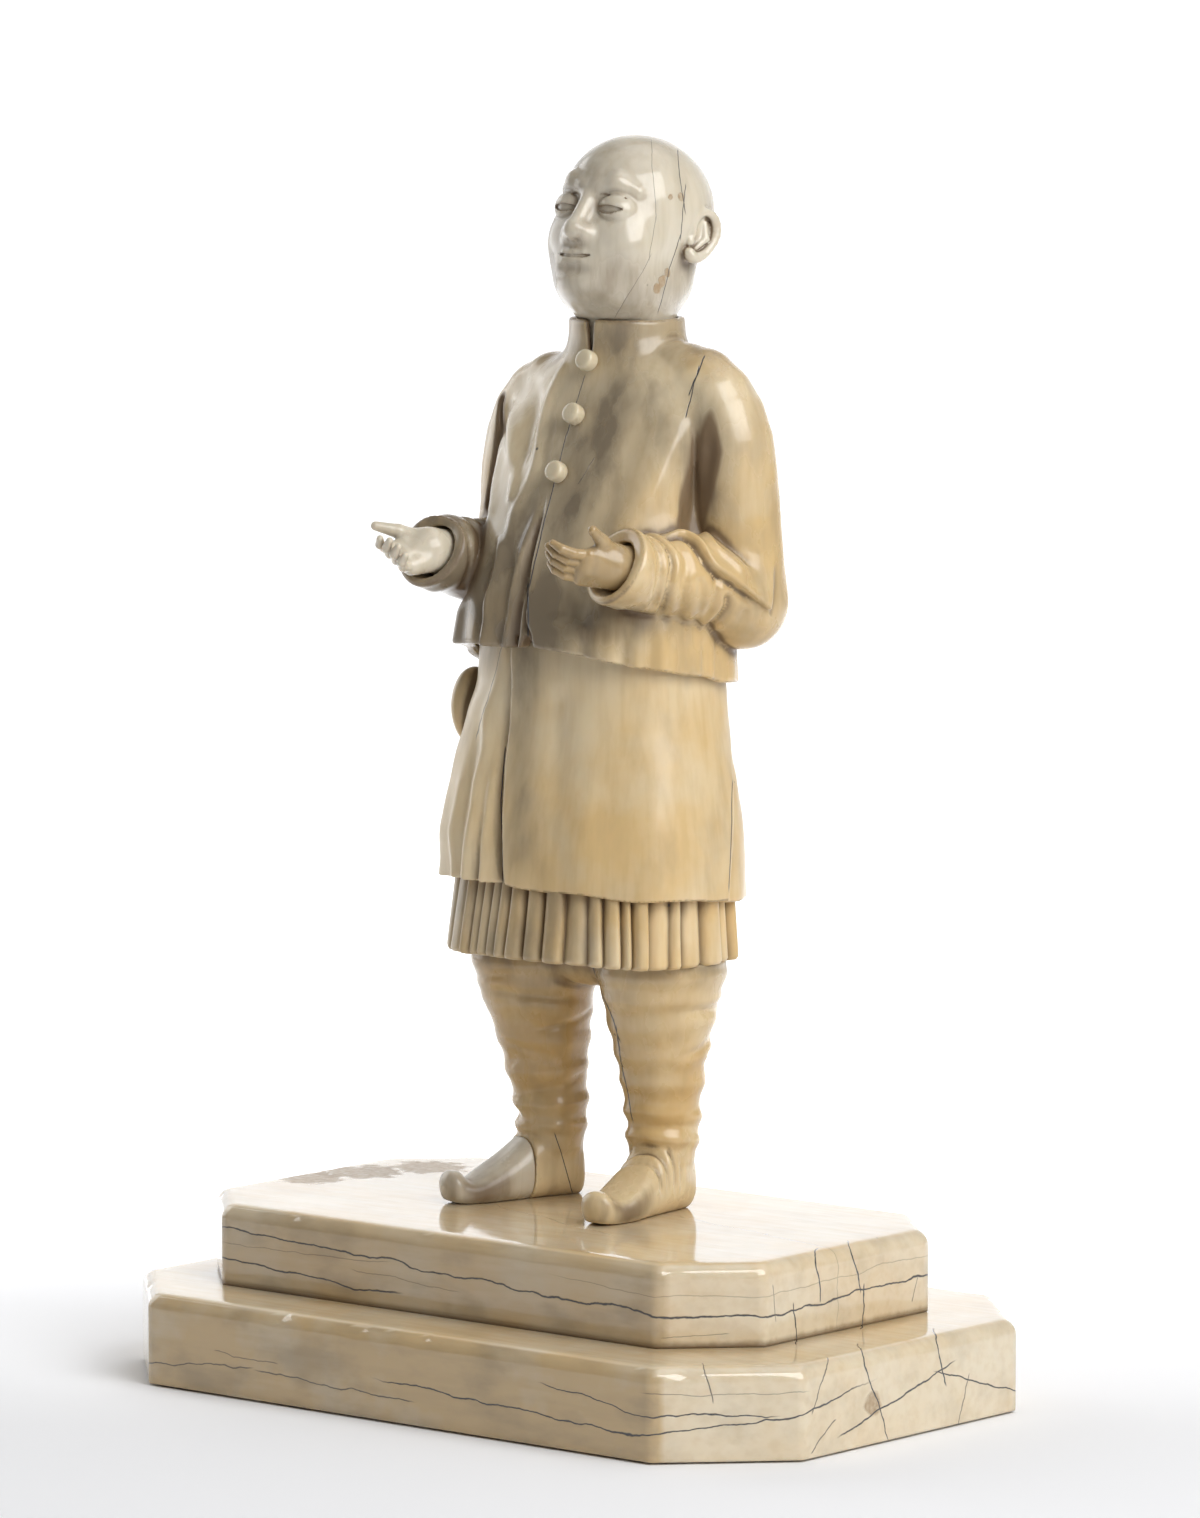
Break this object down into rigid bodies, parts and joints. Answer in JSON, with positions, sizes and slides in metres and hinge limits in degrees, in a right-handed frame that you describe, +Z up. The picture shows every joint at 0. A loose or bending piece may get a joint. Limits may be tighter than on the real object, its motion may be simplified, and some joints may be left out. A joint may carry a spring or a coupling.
{
  "type": "carved ivory figure on a plinth",
  "caption": "Standing carved ivory figure of a bald man in jacket, tunic and pleated skirt, palms held out, fixed on a stepped octagonal plinth; a small ornament.",
  "frame": {"origin": "middle of the underside of the plinth's lower tier", "axes": "+Z up, -Y the way the figure faces, +X along the plinth's long side, towards the figure's left hand"},
  "size_m": [0.173, 0.1094, 0.2505],
  "materials": {
    "plinth_ivory": "polished aged ivory with dark growth cracks",
    "clothes_ivory": "polished ivory with brown-grey toning in the folds",
    "pale_ivory": "polished pale grey-cream ivory",
    "honey_ivory": "polished honey-yellow ivory"
  },
  "bodies": {
    "root": {"plinth_lower_tier": "plinth_ivory", "plinth_upper_tier": "plinth_ivory", "legs": "honey_ivory", "right_shoe_front": "pale_ivory", "tunic_and_skirt": "clothes_ivory", "jacket": "clothes_ivory", "head": "pale_ivory", "left_hand": "honey_ivory", "right_hand": "pale_ivory", "button_top": "honey_ivory", "button_middle": "honey_ivory", "button_bottom": "honey_ivory"}
  },
  "joints": []
}
